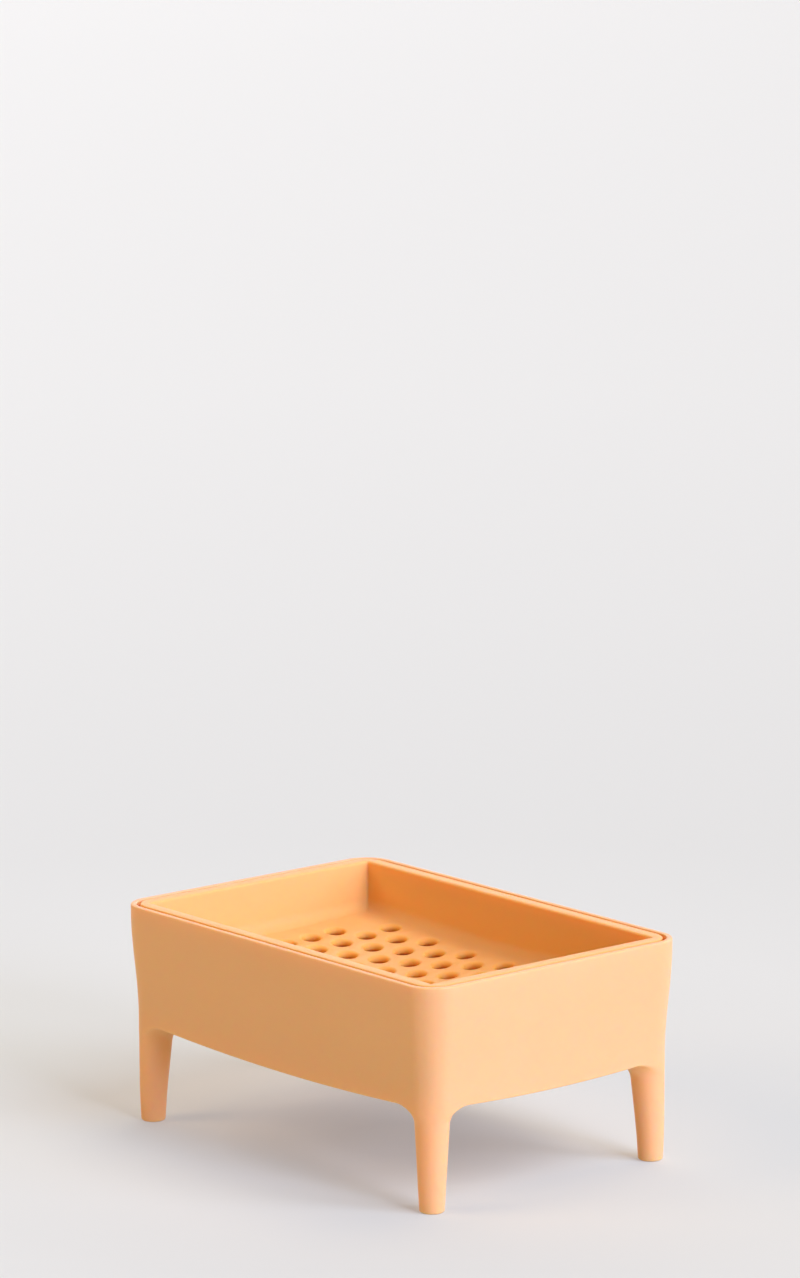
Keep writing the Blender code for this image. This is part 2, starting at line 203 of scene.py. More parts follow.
def makeSky():
    # as light: an even tone with one brighter wall; as seen and mirrored: one pale backdrop
    world = bpy.data.worlds.new("paleRoom")
    world.use_nodes = True
    tree = world.node_tree
    way = tree.nodes.new("ShaderNodeTexCoord").outputs["Generated"]
    ahead = calc(tree, "MAXIMUM", vectorCalc(tree, "DOT_PRODUCT", way, sky["paleWall"]), 0)
    focus = calc(tree, "POWER", ahead, sky["wallFocus"])
    strength = calc(tree, "MULTIPLY_ADD", focus, sky["wallGlow"], sky["even"])
    light = tree.nodes["Background"]
    wire(tree, light.inputs["Color"], sky["tone"])
    wire(tree, light.inputs["Strength"], strength)
    backdrop = outOf(tree, "ShaderNodeBackground", {"Color": sky["backdrop"]})
    ray = tree.nodes.new("ShaderNodeLightPath").outputs
    seen = calc(tree, "MAXIMUM", ray["Is Camera Ray"], ray["Is Glossy Ray"])
    seen = calc(tree, "MAXIMUM", seen, ray["Is Transmission Ray"])
    mixed = outOf(tree, "ShaderNodeMixShader", {0: seen, 1: light.outputs[0], 2: backdrop})
    wire(tree, tree.nodes["World Output"].inputs["Surface"], mixed)
    bpy.context.scene.world = world


makeCamera()
makeSky()
for lampName, lampSetting in lamps.items():
    makeLamp(lampName, lampSetting)
bpy.context.scene.view_settings.view_transform = "Standard"
print("camera and light placed")


# Plastic

plastic = {
    "tubTones": ((0.91, 0.482, 0.176, 1), (0.89, 0.468, 0.166, 1)),
    "trayTones": ((0.93, 0.475, 0.119, 1), (0.91, 0.461, 0.111, 1)),
    # painted shade inside the drain holes
    "paintedHoleTone": (0.98, 0.47, 0.075, 1),
    "toneScale": 28,
    "toneDetail": 3,
    "throughShare": 0.65,  # how much of the light spreads inside the plastic
    "throughTones": (1, 0.4, 0.16),
    "throughDepth": 0.005,
    "specular": 0.15,
    "roughLow": 0.38,
    "roughHigh": 0.46,
    "grainScale": 3200,
    "grainDetail": 2,
    "grainDepth": 0.000012,
    "grainStrength": 0.35,
}


def makePlastic(name, tones):
    material, tree, shader, place = startMaterial(name)
    shader.inputs["Specular IOR Level"].default_value = plastic["specular"]
    shader.inputs["Subsurface Weight"].default_value = plastic["throughShare"]
    shader.inputs["Subsurface Radius"].default_value = plastic["throughTones"]
    shader.inputs["Subsurface Scale"].default_value = plastic["throughDepth"]
    cloud = addNode(tree, "ShaderNodeTexNoise", {
        "Vector": place,
        "Scale": plastic["toneScale"],
        "Detail": plastic["toneDetail"],
    }).outputs["Fac"]
    grain = addNode(tree, "ShaderNodeTexNoise", {
        "Vector": place,
        "Scale": plastic["grainScale"],
        "Detail": plastic["grainDetail"],
    }).outputs["Fac"]
    rough = addNode(tree, "ShaderNodeMapRange", {
        "Value": grain,
        "To Min": plastic["roughLow"],
        "To Max": plastic["roughHigh"],
    }).outputs["Result"]
    bump = addNode(tree, "ShaderNodeBump", {
        "Strength": plastic["grainStrength"],
        "Distance": plastic["grainDepth"],
        "Height": grain,
    }).outputs["Normal"]
    wire(tree, shader.inputs["Base Color"], mixTones(tree, cloud, *tones))
    wire(tree, shader.inputs["Roughness"], rough)
    wire(tree, shader.inputs["Normal"], bump)
    return material


def paintHoleShade(material):
    # painted shade: a deeper orange painted inside the drain holes, standing in for the light that
    # bounces from wall to wall there
    tree = material.node_tree
    target = tree.nodes["Principled BSDF"].inputs["Base Color"]
    # how much painted hole shade, as stored on the floor's sleeves
    depth = addNode(tree, "ShaderNodeAttribute", {}, attribute_name="paintedHoleShade").outputs["Fac"]
    wire(tree, target, mixTones(tree, depth, target.links[0].from_socket, plastic["paintedHoleTone"]))


tubPlastic = makePlastic("tubPlastic", plastic["tubTones"])
trayPlastic = makePlastic("trayPlastic", plastic["trayTones"])
paintHoleShade(trayPlastic)
print("plastics made")


# Tub with its legs

tub = {
    "drawIn": 0.00176,  # how far the sides draw in below the rim
    "rimBand": 0.0018,
    "drawDepth": 0.028,
    "rimOuterRound": 0.0004,
    "rimInnerRound": 0.00025,
    "cavityInset": 0.00375,
    "cavityFillet": 0.0035,
    "floor": 0.002,
    "bellyLow": 0.0237,
    "bellyRiseLong": 0.0023,
    "bellyRiseShort": 0.0018,
    "edgeRound": 0.0004,
    "shallowRound": 2.2,  # extra width of the rounded edge where it turns least
    "edgePasses": 4,  # passes that settle where the rounded edge starts
    "roundSteps": 4,
    "longSteps": 20,
    "shortSteps": 12,
    "wallSteps": 8,
    "wallCrowding": 1.5,  # crowds the steps of the wall towards its rounded edge
    "sideSteps": 26,
    "floorRings": 8,
}

leg = {
    "footRadius": 0.00317,
    "topRadius": 0.00447,
    "footRound": 0.0006,
    "fillet": 0.005,
    "toeIn": 0.00035,
    "toeHeight": 0.012,
    "skin": 0.00003,  # how far the leg stays behind the tub's side
    "reach": 0.012,  # from the leg's axis to the edge of the belly's square patch
    "slopeStep": 0.0005,  # length over which a slope is measured
    "touchPasses": 5,  # passes that settle where the fillet meets the belly
    "halvings": 40,
    "sideSteps": 16,
    "cornerSteps": 24,
    "innerSteps": 24,
    "shaftSteps": 12,
    "filletSteps": 22,
}

cornerCentre = Vector((halfLength - rim["cornerRadius"], halfWidth - rim["cornerRadius"]))
bandBottom = rimHeight - tub["rimBand"]
drawBottom = bandBottom - tub["drawDepth"]


def bellyHeight(x, y):
    # shallow bowl that bows down towards the middle
    along = tub["bellyRiseLong"] * (x / halfLength) ** 2
    across = tub["bellyRiseShort"] * (y / halfWidth) ** 2
    return tub["bellyLow"] + along + across


def bellyPoint(x, y):
    return Vector((x, y, bellyHeight(x, y)))


def bellyNormal(x, y):
    along = 2 * tub["bellyRiseLong"] * x / halfLength ** 2
    across = 2 * tub["bellyRiseShort"] * y / halfWidth ** 2
    return Vector((along, across, -1)).normalized()


def cavityFloor(x, y):
    return bellyHeight(x, y) + tub["floor"]


def sideInset(height):
    # the side draws in on an S-curve below the rim band
    fall = max(0, min(1, (bandBottom - height) / tub["drawDepth"]))
    return tub["drawIn"] * (1 - math.cos(math.pi * fall)) / 2


def nearestWall(x, y):
    # distance from the tub's side below the S-curve, its direction, and the station there
    off = Vector((x, y)) - cornerCentre
    if off.x > 0 and off.y > 0:
        gap = rim["cornerRadius"] - tub["drawIn"] - off.length
        return gap, off.normalized(), ("turn", math.atan2(off.y, off.x))
    longGap = halfWidth - tub["drawIn"] - y
    shortGap = halfLength - tub["drawIn"] - x
    if longGap < shortGap:
        return longGap, Vector((0, 1)), ("long", x)
    return shortGap, Vector((1, 0)), ("short", y)


def stationSpot(station, inset):
    # plan position of one station of the outline, at an inset from the rim
    kind, value = station
    radius = max(rim["cornerRadius"] - inset, rim["tightestRadius"])
    centre = Vector((halfLength - inset - radius, halfWidth - inset - radius))
    if kind == "turn":
        return centre + radius * Vector((math.cos(value), math.sin(value)))
    if kind == "long":
        return Vector((value * centre.x / cornerCentre.x, halfWidth - inset))
    return Vector((halfLength - inset, value * centre.y / cornerCentre.y))


def legRadius(height):
    return leg["footRadius"] + (leg["topRadius"] - leg["footRadius"]) * height / tub["bellyLow"]


def legOutward(height):
    # how far the leg's middle stands out from the centre of the tub's corner
    toe = leg["toeIn"] * max(0, 1 - height / leg["toeHeight"]) ** 2
    return rim["cornerRadius"] - tub["drawIn"] - leg["skin"] - toe - legRadius(height)


legAxis = cornerCentre + legOutward(tub["bellyLow"]) * Vector((1, 1)).normalized()


def shaftReach(height, turn, radius=None):
    # distance from the leg's axis to its surface
    radius = radius or legRadius(height)
    shift = legOutward(height) - legOutward(tub["bellyLow"])
    aside = turn - rightAngle / 2
    return shift * math.cos(aside) + math.sqrt(radius ** 2 - (shift * math.sin(aside)) ** 2)


def legSpot(turn, reach, height):
    return Vector((legAxis.x + reach * math.cos(turn), legAxis.y + reach * math.sin(turn), height))


def underProfile(turn):
    # fillet from leg to belly in one half plane through the leg's axis, then the belly itself
    def bellyAt(reach):
        spot = legSpot(turn, reach, 0)
        return bellyHeight(spot.x, spot.y)

    step = leg["slopeStep"]
    radius = leg["fillet"]
    low = tub["bellyLow"] - radius
    lean = (shaftReach(low + step, turn) - shaftReach(low - step, turn)) / (2 * step)
    stretch = math.hypot(1, lean)
    touch = legRadius(low) + radius
    for _ in range(leg["touchPasses"]):
        slope = (bellyAt(touch + step) - bellyAt(touch - step)) / (2 * step)
        tilt = math.hypot(1, slope)
        level = bellyAt(touch) - slope * touch - radius * tilt
        shaftShare = shaftReach(low, turn) + lean * (level - low) + radius * stretch
        centreReach = shaftShare / (1 - lean * slope)
        touch = centreReach - radius * slope / tilt
    centreHeight = level + slope * centreReach
    start = math.pi - math.atan(lean)
    arcRun = radius * (rightAngle - math.atan(lean) - math.atan(slope))

    def at(run):
        # point after a run along the profile, and the way the surface faces there
        if run < arcRun:
            angle = start - run / radius
            out, up = math.cos(angle), math.sin(angle)
            spot = legSpot(turn, centreReach + radius * out, centreHeight + radius * up)
            return spot, Vector((-out * math.cos(turn), -out * math.sin(turn), -up))
        reach = touch + (run - arcRun) / tilt
        spot = legSpot(turn, reach, bellyAt(reach))
        return spot, bellyNormal(spot.x, spot.y)

    def runTo(reach):
        return arcRun + (reach - touch) * tilt

    return at, runTo


def edgeTurn(normal, outward):
    # how far the rounded edge turns, and its radius; a shallow turn is rounded more widely
    total = math.acos(normal.xy.dot(outward))
    setback = tub["edgeRound"] * (1 + tub["shallowRound"] * math.cos(total) ** 2)
    return total, setback / math.tan(total / 2)


def edgeGap(spot, normal):
    # what is left between a point of the underside and the start of the rounded edge
    gap, outward, _ = nearestWall(spot.x, spot.y)
    total, radius = edgeTurn(normal, outward)
    return gap - radius * (1 - math.cos(total))


def runToEdge(at):
    # run along a profile up to the start of the rounded edge, found by halving
    near, far = 0, 2 * leg["reach"]
    for _ in range(leg["halvings"]):
        middle = (near + far) / 2
        if edgeGap(*at(middle)) > 0:
            near = middle
        else:
            far = middle
    return near


def edgeLine(outward):
    # how far out the belly reaches before its rounded edge starts, on one straight side
    reach = outward.dot(Vector((halfLength, halfWidth))) - tub["drawIn"]
    out = reach
    for _ in range(tub["edgePasses"]):
        spot = out * outward
        total, radius = edgeTurn(bellyNormal(spot.x, spot.y), outward)
        out = reach - radius * (1 - math.cos(total))
    return out


def wallColumn(spot, normal):
    # one line of points: round the underside's edge, up the side, over the rim, into the cavity
    _, outward, station = nearestWall(spot.x, spot.y)
    steps = tub["roundSteps"]
    total, radius = edgeTurn(normal, outward)
    points = [spot]
    for step in range(1, steps + 1):
        left = total * (1 - step / steps)
        out = radius * (math.cos(left) - math.cos(total))
        up = radius * (math.sin(total) - math.sin(left))
        points.append(spot + Vector((outward.x * out, outward.y * out, up)))
    wallStart = points[-1].z

    def level(inset, height):
        plan = stationSpot(station, inset)
        points.append(Vector((plan.x, plan.y, height)))

    def onFloor(inset, lift, share=1):
        plan = share * stationSpot(station, inset)
        points.append(Vector((plan.x, plan.y, cavityFloor(plan.x, plan.y) + lift)))

    for step in range(1, tub["wallSteps"] + 1):
        climb = (step / tub["wallSteps"]) ** tub["wallCrowding"]
        level(tub["drawIn"], wallStart + (drawBottom - wallStart) * climb)
    for step in range(1, tub["sideSteps"] + 1):
        height = drawBottom + tub["drawDepth"] * step / tub["sideSteps"]
        level(sideInset(height), height)
    outer, inner = tub["rimOuterRound"], tub["rimInnerRound"]
    for turn in quarterTurns(steps):
        level(outer * (1 - math.cos(turn)), rimHeight - outer * (1 - math.sin(turn)))
    for turn in quarterTurns(steps):
        level(rim["wall"] - inner * (1 - math.sin(turn)), rimHeight - inner * (1 - math.cos(turn)))
    ledge = lipUnderside - rim["seatGap"]
    level(rim["wall"], ledge)
    level(tub["cavityInset"], ledge)
    fillet = tub["cavityFillet"]
    for turn in quarterTurns(2 * steps):
        onFloor(tub["cavityInset"] + fillet * (1 - math.cos(turn)), fillet * (1 - math.sin(turn)))
    for ring in range(tub["floorRings"] - 1, -1, -1):
        onFloor(tub["cavityInset"] + fillet, 0, ring / tub["floorRings"])
    return points


def straightColumn(x, y):
    # the same line of points, over a straight side
    return wallColumn(bellyPoint(x, y), bellyNormal(x, y))


def legColumn(turn):
    # one line of points from the middle of the foot up the leg to the start of the fillet
    footRound = leg["footRound"]
    middle = legOutward(0) - legOutward(tub["bellyLow"])
    points = [legSpot(rightAngle / 2, middle, 0)]
    for angle in quarterTurns(tub["roundSteps"]):
        height = footRound * (1 - math.cos(angle))
        radius = legRadius(height) - footRound * (1 - math.sin(angle))
        points.append(legSpot(turn, shaftReach(height, turn, radius), height))
    at, _ = underProfile(turn)
    top = at(0)[0].z
    for step in range(1, leg["shaftSteps"] + 1):
        height = footRound + (top - footRound) * step / leg["shaftSteps"]
        points.append(legSpot(turn, shaftReach(height, turn), height))
    return points


def blend(start, end, steps):
    return [start + (end - start) * step / steps for step in range(steps + 1)]


def tubQuarter():
    # sheets of points over one quarter of the tub; each sheet is a grid of lines
    innerX, innerY = legAxis.x - leg["reach"], legAxis.y - leg["reach"]
    edgeX, edgeY = edgeLine(Vector((1, 0))), edgeLine(Vector((0, 1)))
    aboveAxis, besideAxis = edgeY - legAxis.y, edgeX - legAxis.x
    longRun = blend(0, innerX, tub["longSteps"])
    shortRun = blend(0, innerY, tub["shortSteps"])
    fallRun = blend(edgeY, innerY, leg["innerSteps"])
    spreadRun = blend(innerX, edgeX, leg["innerSteps"])
    steps = leg["filletSteps"]

    # directions round the outside of the leg, from the long side to the short one
    outTurns = [math.atan2(aboveAxis, x) for x in blend(-leg["reach"], 0, leg["sideSteps"])]
    outTurns += [rightAngle - angle for angle in blend(0, rightAngle, leg["cornerSteps"])[1:]]
    outTurns += [math.atan2(y, besideAxis) for y in blend(0, -leg["reach"], leg["sideSteps"])[1:]]

    # leg, fillet, rounded edge and side, round the outside of the leg
    outerLines = []
    wallLines = [straightColumn(x, edgeY) for x in longRun[:-1]]
    for turn in outTurns:
        at, _ = underProfile(turn)
        end = runToEdge(at)
        line = [at(end * step / steps)[0] for step in range(1, steps + 1)]
        outerLines.append(legColumn(turn) + line)
        wallLines.append(wallColumn(*at(end)))
    wallLines += [straightColumn(edgeX, y) for y in reversed(shortRun[:-1])]

    # leg and fillet round the inside, out to the rim of the belly's square patch
    innerLines = []
    patchRim = [Vector((innerX, y)) for y in fallRun] + [Vector((x, innerY)) for x in spreadRun[1:]]
    for spot in patchRim:
        off = spot - legAxis
        turn = math.atan2(off.y, off.x)
        at, runTo = underProfile(turn)
        end = runTo(off.length)
        line = [at(end * step / steps)[0] for step in range(1, steps)]
        innerLines.append(legColumn(turn) + line + [bellyPoint(spot.x, spot.y)])

    # the rest of the belly
    besideLong = [[bellyPoint(x, y) for y in fallRun] for x in longRun]
    besideShort = [[bellyPoint(x, y) for x in spreadRun] for y in shortRun]
    middle = [[bellyPoint(x, y) for y in shortRun] for x in longRun]
    return outerLines, wallLines, innerLines, besideLong, besideShort, middle


def makeTub():
    # the quarter four times over, mirrored and welded
    bm = bmesh.new()
    sheets = tubQuarter()
    for mirror in ((1, 1, 1), (1, -1, 1), (-1, 1, 1), (-1, -1, 1)):
        for lines in sheets:
            rows = [[bm.verts.new(p * Vector(mirror)) for p in line] for line in lines]
            for one, other in zip(rows, rows[1:]):
                for i in range(len(one) - 1):
                    bm.faces.new((one[i], other[i], other[i + 1], one[i + 1]))
    bmesh.ops.remove_doubles(bm, verts=bm.verts, dist=meshing["weld"])
    bmesh.ops.recalc_face_normals(bm, faces=bm.faces)
    obj = objectFromBmesh("tubWithLegs", bm)
    obj.data.materials.append(tubPlastic)
    shadeSmooth(obj)
    return obj


tubWithLegs = makeTub()
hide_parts("base_tub")
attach(tubWithLegs, "tub")
print("tub and legs made:", len(tubWithLegs.data.polygons), "faces")


# Lift-out tray

tray = {
    "wall": 0.0016,
    "floor": 0.0022,
    "draft": 0.0003,
    "fillet": 0.0032,
    "lipOuterRound": 0.0003,
    "lipInnerRound": 0.0006,
    "low": 0.0397,  # height of the floor in the middle
    "rise": 0.00577,  # its climb from there to where it levels off
    "reachLong": 0.0746,
    "reachShort": 0.057,
    "roundSteps": 4,
    "filletSteps": 8,
    "cornerSteps": 12,
    "longSteps": 56,
    "shortSteps": 36,
}

holes = {
    "radius": 0.00245,
    "edgeRound": 0.0009,
    "rowPitch": 0.00766,
    "holePitch": 0.00842,
    "evenRows": 7,
    "evenRowHoles": 7,
    "oddRows": 6,
    "oddRowHoles": 8,
    "endRowHoles": 5,  # holes that the two outermost rows keep
    "sides": 32,
    "arcSteps": 3,
}


def trayFloor(x, y):
    # dish that levels off towards the corners
    reach = min(1, math.hypot(x / tray["reachLong"], y / tray["reachShort"]))
    return tray["low"] + tray["rise"] * math.sin(rightAngle * reach) ** 2


def roundedOutline(inset, corner=None):
    # rounded rectangle one inset inside the rim, anticlockwise from the +X side
    halfX = halfLength - inset
    halfY = halfWidth - inset
    radius = corner or max(rim["cornerRadius"] - inset, rim["tightestRadius"])
    signs = ((1, 1), (-1, 1), (-1, -1), (1, -1))
    ways = (Vector((-1, 0)), Vector((0, -1)), Vector((1, 0)), Vector((0, 1)))
    points = []
    for quarter in range(4):
        signX, signY = signs[quarter]
        centre = Vector((signX * (halfX - radius), signY * (halfY - radius)))
        for step in range(tray["cornerSteps"] + 1):
            turn = rightAngle * (quarter + step / tray["cornerSteps"])
            points.append(centre + radius * Vector((math.cos(turn), math.sin(turn))))
        alongX = quarter % 2 == 0
        run = 2 * (halfX - radius if alongX else halfY - radius)
        count = tray["longSteps"] if alongX else tray["shortSteps"]
        start = points[-1]
        for step in range(1, count):
            points.append(start + ways[quarter] * (run * step / count))
    return points


def levelRing(inset, height, corner=None):
    return [Vector((p.x, p.y, height)) for p in roundedOutline(inset, corner)]


def floorRing(inset, lift, corner=None):
    # ring that follows the dished floor
    outline = roundedOutline(inset, corner)
    return [Vector((p.x, p.y, trayFloor(p.x, p.y) + lift)) for p in outline]


def trayShell():
    # lip, walls and fillets, open where the perforated floor joins in
    corner = rim["tightestRadius"]
    fillet = tray["fillet"]
    floorInset = mouthInset + tray["draft"] + fillet
    outward, downward = fillet + tray["wall"], fillet + tray["floor"]
    rings = []
    for turn in reversed(quarterTurns(tray["filletSteps"])):
        inset = floorInset - outward * math.cos(turn)
        rings.append(floorRing(inset, fillet - downward * math.sin(turn)))
    rings.append(levelRing(mouthInset - tray["wall"], lipUnderside))
    lipOuter = rim["wall"] + rim["gap"]
    rings.append(levelRing(lipOuter, lipUnderside))
    outer, inner = tray["lipOuterRound"], tray["lipInnerRound"]
    for turn in quarterTurns(tray["roundSteps"]):
        inset = lipOuter + outer * (1 - math.cos(turn))
        rings.append(levelRing(inset, rimHeight - outer * (1 - math.sin(turn))))
    for turn in quarterTurns(tray["roundSteps"]):
        inset = mouthInset - inner * (1 - math.sin(turn))
        rings.append(levelRing(inset, rimHeight - inner * (1 - math.cos(turn)), corner))
    for turn in quarterTurns(tray["filletSteps"]):
        inset = floorInset - fillet * math.cos(turn)
        rings.append(floorRing(inset, fillet * (1 - math.sin(turn)), corner))

    bm = bmesh.new()
    seam = bm.verts.layers.bool.new("topSeam")
    layers = [[bm.verts.new(point) for point in ring] for ring in rings]
    for lower, upper in zip(layers, layers[1:]):
        for i in range(len(lower)):
            j = (i + 1) % len(lower)
            bm.faces.new((lower[i], lower[j], upper[j], upper[i]))
    for vert in layers[-1]:
        vert[seam] = True
    bmesh.ops.recalc_face_normals(bm, faces=bm.faces)
    return bm


def joined(tree, *pieces):
    together = tree.nodes.new("GeometryNodeJoinGeometry")
    for piece in pieces:
        tree.links.new(piece, together.inputs[0])
    return together.outputs[0]


def floorSockets(tree):
    # named inputs of the tree, for the sizes and counts of the perforated floor
    socket = tree.interface.new_socket
    socket("Geometry", in_out="INPUT", socket_type="NodeSocketGeometry")
    for name in ("Thickness", "Hole Radius", "Edge Round", "Row Pitch", "Hole Pitch",
                 "Floor Low", "Floor Rise", "Reach Long", "Reach Short", "Weld Distance"):
        socket(name, in_out="INPUT", socket_type="NodeSocketFloat")
    for name in ("Even Rows", "Even Row Holes", "Odd Rows", "Odd Row Holes", "End Row Holes",
                 "Sides", "Arc Steps"):
        socket(name, in_out="INPUT", socket_type="NodeSocketInt")
    socket("Material", in_out="INPUT", socket_type="NodeSocketMaterial")
    socket("Geometry", in_out="OUTPUT", socket_type="NodeSocketGeometry")


def perforatedFloorTree():
    # fills the open floor of the tray with a drilled plate, then bends it to the dish
    tree = bpy.data.node_groups.new("perforatedFloor", "GeometryNodeTree")
    floorSockets(tree)
    given = tree.nodes.new("NodeGroupInput").outputs
    spot = addNode(tree, "ShaderNodeSeparateXYZ", {
        "Vector": outOf(tree, "GeometryNodeInputPosition", {}),
    }).outputs

    # staggered rows: two grids, the second set half a step aside
    rowStep = calc(tree, "MULTIPLY", given["Row Pitch"], 2)
    grids = []
    for rows, across in (("Even Rows", "Even Row Holes"), ("Odd Rows", "Odd Row Holes")):
        rowGaps = calc(tree, "SUBTRACT", given[rows], 1)
        holeGaps = calc(tree, "SUBTRACT", given[across], 1)
        grids.append(outOf(tree, "GeometryNodeMeshGrid", {
            "Size X": calc(tree, "MULTIPLY", rowStep, rowGaps),
            "Size Y": calc(tree, "MULTIPLY", given["Hole Pitch"], holeGaps),
            "Vertices X": given[rows],
            "Vertices Y": given[across],
        }))

    # the outermost rows lose the holes that would run into the corners; the limits
    # are half a pitch inside those rows and half a pitch past the last hole they keep
    rowShare = calc(tree, "SUBTRACT", given["Even Rows"], 1.5)
    holeShare = calc(tree, "DIVIDE", given["End Row Holes"], 2)
    rowLimit = calc(tree, "MULTIPLY", given["Row Pitch"], rowShare)
    holeLimit = calc(tree, "MULTIPLY", given["Hole Pitch"], holeShare)
    surplus = calc(tree, "MULTIPLY",
                   calc(tree, "GREATER_THAN", calc(tree, "ABSOLUTE", spot["X"]), rowLimit),
                   calc(tree, "GREATER_THAN", calc(tree, "ABSOLUTE", spot["Y"]), holeLimit))
    centres = outOf(tree, "GeometryNodeDeleteGeometry", {
        "Geometry": joined(tree, *grids),
        "Selection": surplus,
    }, domain="POINT")

    # upper and lower skins: the seam of the tray's walls, less one circle for each hole
    seam = addNode(tree, "GeometryNodeInputNamedAttribute", {
        "Name": "topSeam",
    }, data_type="BOOLEAN").outputs["Attribute"]
    rimCurve = outOf(tree, "GeometryNodeMeshToCurve", {
        "Mesh": given["Geometry"],
        "Selection": seam,
    })
    circle = outOf(tree, "GeometryNodeCurvePrimitiveCircle", {
        "Resolution": given["Sides"],
        "Radius": calc(tree, "ADD", given["Hole Radius"], given["Edge Round"]),
    }, mode="RADIUS")
    circles = outOf(tree, "GeometryNodeInstanceOnPoints", {"Points": centres, "Instance": circle})
    circles = outOf(tree, "GeometryNodeRealizeInstances", {"Geometry": circles})
    outlines = joined(tree, rimCurve, circles)
    upperSkin = outOf(tree, "GeometryNodeFillCurve", {"Curve": outlines}, mode="TRIANGLES")
    drop = calc(tree, "MULTIPLY", given["Thickness"], -1)
    lowerSkin = outOf(tree, "GeometryNodeTransform", {
        "Geometry": outOf(tree, "GeometryNodeFlipFaces", {"Mesh": upperSkin}),
        "Translation": outOf(tree, "ShaderNodeCombineXYZ", {"Z": drop}),
    })

    # one sleeve lines each hole: a straight bore with a rounded edge above and below
    halfThickness = calc(tree, "DIVIDE", given["Thickness"], 2)
    segments = calc(tree, "ADD", calc(tree, "MULTIPLY", given["Arc Steps"], 2), 1)
    bore = outOf(tree, "GeometryNodeMeshCylinder", {
        "Vertices": given["Sides"],
        "Side Segments": segments,
        "Radius": given["Hole Radius"],
        "Depth": given["Thickness"],
    }, fill_type="NONE")
    level = calc(tree, "DIVIDE", spot["Z"], halfThickness)
    straight = calc(tree, "DIVIDE", 1, segments)
    bend = calc(tree, "DIVIDE",
                calc(tree, "SUBTRACT", calc(tree, "ABSOLUTE", level), straight),
                calc(tree, "SUBTRACT", 1, straight))
    turn = calc(tree, "MULTIPLY", calc(tree, "MAXIMUM", bend, 0), rightAngle)
    upright = calc(tree, "COSINE", turn)
    flare = calc(tree, "MULTIPLY", given["Edge Round"], calc(tree, "SUBTRACT", 1, upright))
    flared = calc(tree, "ADD", given["Hole Radius"], flare)
    widen = calc(tree, "DIVIDE", flared, given["Hole Radius"])
    away = calc(tree, "ADD",
                calc(tree, "SUBTRACT", halfThickness, given["Edge Round"]),
                calc(tree, "MULTIPLY", given["Edge Round"], calc(tree, "SINE", turn)))
    side = calc(tree, "MULTIPLY", calc(tree, "SIGN", level), away)
    # share of painted hole shade: none where the rounded edge meets the floor's face, full down the
    # straight bore
    marked = outOf(tree, "GeometryNodeStoreNamedAttribute", {
        "Geometry": outOf(tree, "GeometryNodeFlipFaces", {"Mesh": bore}),
        "Name": "paintedHoleShade",
        "Value": upright,
    }, data_type="FLOAT", domain="POINT")
    sleeve = outOf(tree, "GeometryNodeSetPosition", {
        "Geometry": marked,
        "Position": outOf(tree, "ShaderNodeCombineXYZ", {
            "X": calc(tree, "MULTIPLY", spot["X"], widen),
            "Y": calc(tree, "MULTIPLY", spot["Y"], widen),
            "Z": calc(tree, "SUBTRACT", side, halfThickness),
        }),
    })
    sleeves = outOf(tree, "GeometryNodeInstanceOnPoints", {"Points": centres, "Instance": sleeve})
    sleeves = outOf(tree, "GeometryNodeRealizeInstances", {"Geometry": sleeves})

    # bend the flat floor to the dish
    alongShare = calc(tree, "DIVIDE", spot["X"], given["Reach Long"])
    acrossShare = calc(tree, "DIVIDE", spot["Y"], given["Reach Short"])
    reach = calc(tree, "SQRT", calc(tree, "ADD",
                                    calc(tree, "MULTIPLY", alongShare, alongShare),
                                    calc(tree, "MULTIPLY", acrossShare, acrossShare)))
    climb = calc(tree, "SINE", calc(tree, "MULTIPLY", calc(tree, "MINIMUM", reach, 1), rightAngle))
    rise = calc(tree, "MULTIPLY", given["Floor Rise"], calc(tree, "MULTIPLY", climb, climb))
    lift = calc(tree, "ADD", given["Floor Low"], rise)
    dished = outOf(tree, "GeometryNodeSetPosition", {
        "Geometry": joined(tree, upperSkin, lowerSkin, sleeves),
        "Offset": outOf(tree, "ShaderNodeCombineXYZ", {"Z": lift}),
    })

    welded = outOf(tree, "GeometryNodeMergeByDistance", {
        "Geometry": joined(tree, dished, given["Geometry"]),
        "Distance": given["Weld Distance"],
    })
    finished = outOf(tree, "GeometryNodeSetMaterial", {
        "Geometry": outOf(tree, "GeometryNodeRealizeInstances", {"Geometry": welded}),
        "Material": given["Material"],
    })
    tree.links.new(finished, tree.nodes.new("NodeGroupOutput").inputs[0])
    return tree


def bakeModifiers(obj):
    # swap the object's mesh for what its modifiers make of it, then drop them
    bpy.context.view_layer.update()
    evaluated = obj.evaluated_get(bpy.context.evaluated_depsgraph_get())
    finished = bpy.data.meshes.new_from_object(evaluated)
    finished.name = obj.name
    obj.modifiers.clear()
    old = obj.data
    obj.data = finished
    bpy.data.meshes.remove(old)


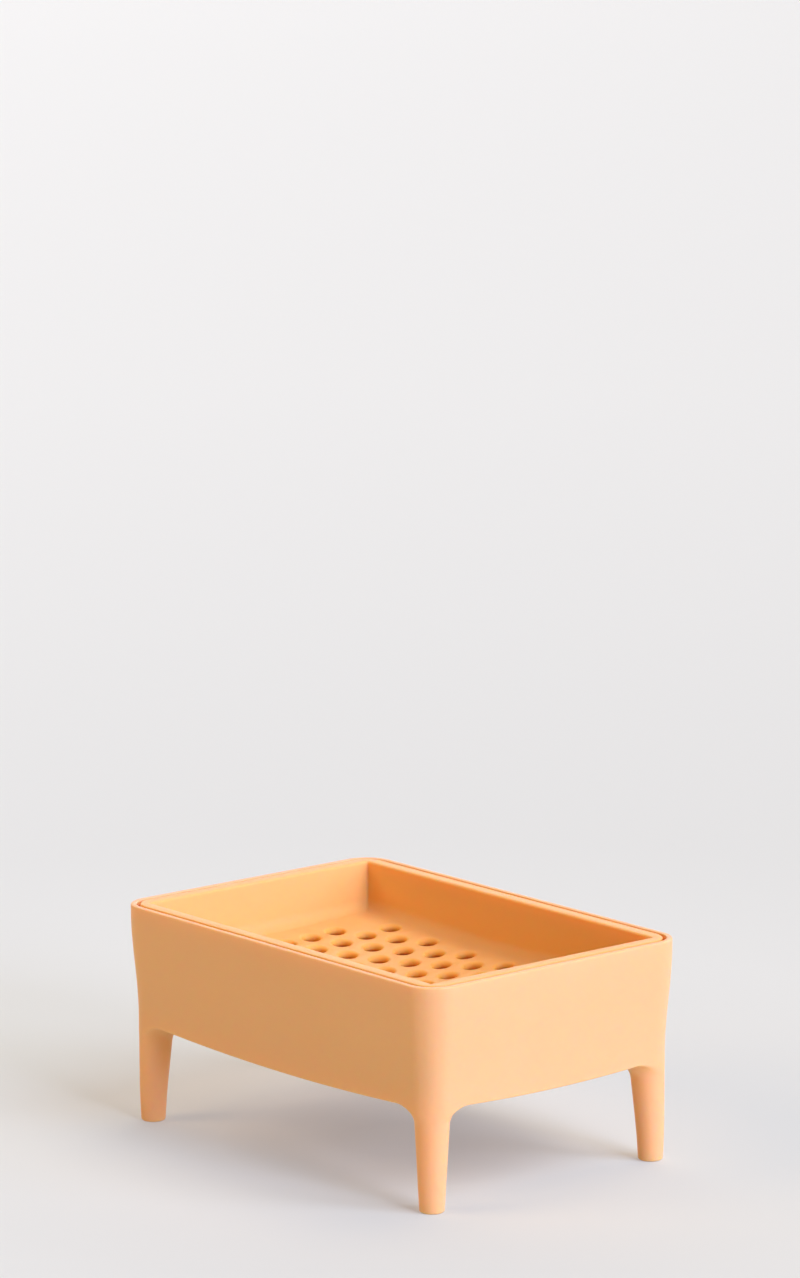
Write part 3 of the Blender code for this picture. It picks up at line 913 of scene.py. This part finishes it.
def makeTray():
    obj = objectFromBmesh("perforatedTray", trayShell())
    tree = perforatedFloorTree()
    given = {
        "Thickness": tray["floor"],
        "Hole Radius": holes["radius"],
        "Edge Round": holes["edgeRound"],
        "Row Pitch": holes["rowPitch"],
        "Hole Pitch": holes["holePitch"],
        "Floor Low": tray["low"],
        "Floor Rise": tray["rise"],
        "Reach Long": tray["reachLong"],
        "Reach Short": tray["reachShort"],
        "Weld Distance": meshing["weld"],
        "Even Rows": holes["evenRows"],
        "Even Row Holes": holes["evenRowHoles"],
        "Odd Rows": holes["oddRows"],
        "Odd Row Holes": holes["oddRowHoles"],
        "End Row Holes": holes["endRowHoles"],
        "Sides": holes["sides"],
        "Arc Steps": holes["arcSteps"],
        "Material": trayPlastic,
    }
    modifier = obj.modifiers.new("perforatedFloor", "NODES")
    modifier.node_group = tree
    for item in tree.interface.items_tree:
        if item.in_out == "INPUT" and item.name in given:
            modifier[item.identifier] = given[item.name]
    bakeModifiers(obj)
    shadeSmooth(obj)
    return obj


perforatedTray = makeTray()
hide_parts("soap_tray")
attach(perforatedTray, "tray")
print("tray made:", len(perforatedTray.data.polygons), "faces")


# Floor

studio = {
    # distance from the middle, and the paper's tone there, with painted light and shade in it: a
    # painted shadow under the dish, and the paper painted lighter far away
    "tones": ((0.02, 0.602), (0.05, 0.778), (0.08, 0.773), (0.12, 0.764), (0.2, 0.788),
              (0.35, 0.764), (0.75, 0.796), (1.3, 0.827), (2.1, 0.844), (3.6, 0.872)),
    "span": 4,
    "tint": (0.93, 1, 0.68),
    # painted glow: the paper gives off light of its own, which lightens its shadows
    "glowTint": (0.93, 1, 1.2),
    "paintedGlow": 0.3,
    "roughness": 1,
    "specular": 0,
    "sideways": (-0.643, -0.766, 0),
    # painted light: the paper is painted lighter towards the left, which lifts the shadow that
    # falls there
    "paintedLightAside": 0.09,
    "halfSize": 8,
}


def makeFloor():
    # pale paper with painted light and shade: a painted shadow under the dish, painted light far
    # away and to the left, and a painted glow
    bm = bmesh.new()
    bmesh.ops.create_grid(bm, x_segments=1, y_segments=1, size=studio["halfSize"])
    floor = objectFromBmesh("studioFloor", bm)
    material, tree, shader, place = startMaterial("studioPaper")
    shader.inputs["Roughness"].default_value = studio["roughness"]
    shader.inputs["Specular IOR Level"].default_value = studio["specular"]
    # strength of the painted glow
    shader.inputs["Emission Strength"].default_value = studio["paintedGlow"]
    away = calc(tree, "DIVIDE", vectorCalc(tree, "LENGTH", place), studio["span"])
    # painted light and shade by distance from the middle
    ramp = addNode(tree, "ShaderNodeValToRGB", {"Fac": away})
    stops = ramp.color_ramp.elements
    while len(stops) < len(studio["tones"]):
        stops.new(0)
    for stop, (distance, tone) in zip(stops, studio["tones"]):
        stop.position = distance / studio["span"]
        stop.color = (tone, tone, tone, 1)
    # painted light, growing towards the left
    aside = vectorCalc(tree, "DOT_PRODUCT", place, studio["sideways"])
    paintedSideLight = calc(tree, "MULTIPLY_ADD", aside, studio["paintedLightAside"], 1)
    paper = vectorCalc(tree, "MULTIPLY", ramp.outputs["Color"], paintedSideLight)
    # the lamps light one share of the paper's tone; the painted glow gives off the other share
    litTint = [(1 - studio["paintedGlow"]) * part for part in studio["tint"]]
    for name, tint in (("Base Color", litTint), ("Emission Color", studio["glowTint"])):
        wire(tree, shader.inputs[name], vectorCalc(tree, "MULTIPLY", paper, tint))
    floor.data.materials.append(material)


makeFloor()
print("floor made")
